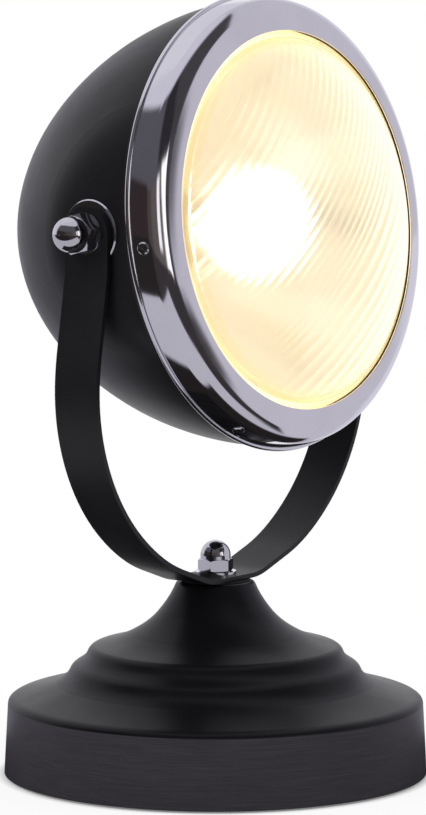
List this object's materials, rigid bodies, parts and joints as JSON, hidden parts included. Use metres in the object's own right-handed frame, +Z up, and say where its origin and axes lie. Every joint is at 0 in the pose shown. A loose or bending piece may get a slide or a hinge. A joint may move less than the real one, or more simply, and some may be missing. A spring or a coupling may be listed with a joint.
{
  "type": "tabletop searchlight lamp",
  "caption": "Round headlamp head with a chrome ring and fluted glass, tilting in a flat strap yoke that swivels on a stepped round base.",
  "frame": {"origin": "centre of the flat felt underside of the base", "axes": "+Z up, -Y is the way the head faces, X runs along the head's pivots"},
  "size_m": [0.202, 0.184, 0.3223],
  "materials": {
    "black_paint": "satin black stoved enamel over pressed steel",
    "chrome": "bright chrome plate, a little wavy where it was spun",
    "chrome_hardware": "bright chrome plated steel",
    "zinc_steel": "zinc plated steel, dull",
    "lens_glass": "clear pressed glass with flutes",
    "bulb_glass": "frosted bulb glass, lit",
    "bulb_cap": "bright metal screw cap",
    "reflector_metal": "bright polished dish",
    "gasket_rubber": "black rubber",
    "phenolic": "dark brown moulded plastic, part gloss",
    "brass": "plain brass",
    "terminal_plastic": "off-white moulded plastic",
    "wire_insulation": "plain insulation",
    "gland_plastic": "black moulded plastic",
    "fibre": "black vulcanised fibre",
    "cast_iron": "rough casting, black wash",
    "felt": "black felt"
  },
  "bodies": {
    "base": {"base_shell": "black_paint", "ballast_weight": "cast_iron", "base_cover": "zinc_steel", "cover_screws": "zinc_steel", "base_felt": "felt", "neck_rod": "zinc_steel", "rod_nuts": "zinc_steel", "rod_washers": "zinc_steel", "swivel_washer": "fibre", "yoke_washer": "chrome_hardware", "yoke_cap_nut": "chrome_hardware"},
    "yoke": {"yoke_strap": "black_paint"},
    "head": {"housing_dome": "black_paint", "trim_ring": "chrome", "trim_screws": "chrome_hardware", "lens_glass": "lens_glass", "lens_gasket": "gasket_rubber", "lens_clips": "zinc_steel", "reflector": "reflector_metal", "bulb_glass": "bulb_glass", "bulb_cap": "bulb_cap", "holder_body": "phenolic", "holder_contact": "brass", "holder_plate": "zinc_steel", "stem_tube": "zinc_steel", "stem_nuts": "zinc_steel", "cable_gland": "gland_plastic", "terminal_block": "terminal_plastic", "earth_screw": "brass", "lead_wires": "wire_insulation", "pivot_plates": "zinc_steel", "pivot_bolts": "zinc_steel", "pivot_discs": "chrome_hardware", "pivot_washers": "chrome_hardware", "pivot_cap_nuts": "chrome_hardware"}
  },
  "joints": [
    {"name": "yoke_swivel", "type": "hinge", "parent": "base", "child": "yoke", "pos_m": [0, 0, 0.082], "axis": [0, 0, 1], "range_deg": [-170, 170]},
    {"name": "head_tilt", "type": "hinge", "parent": "yoke", "child": "head", "pos_m": [0, 0, 0.2296], "axis": [-1, 0, 0], "range_deg": [-25, 83]}
  ]
}
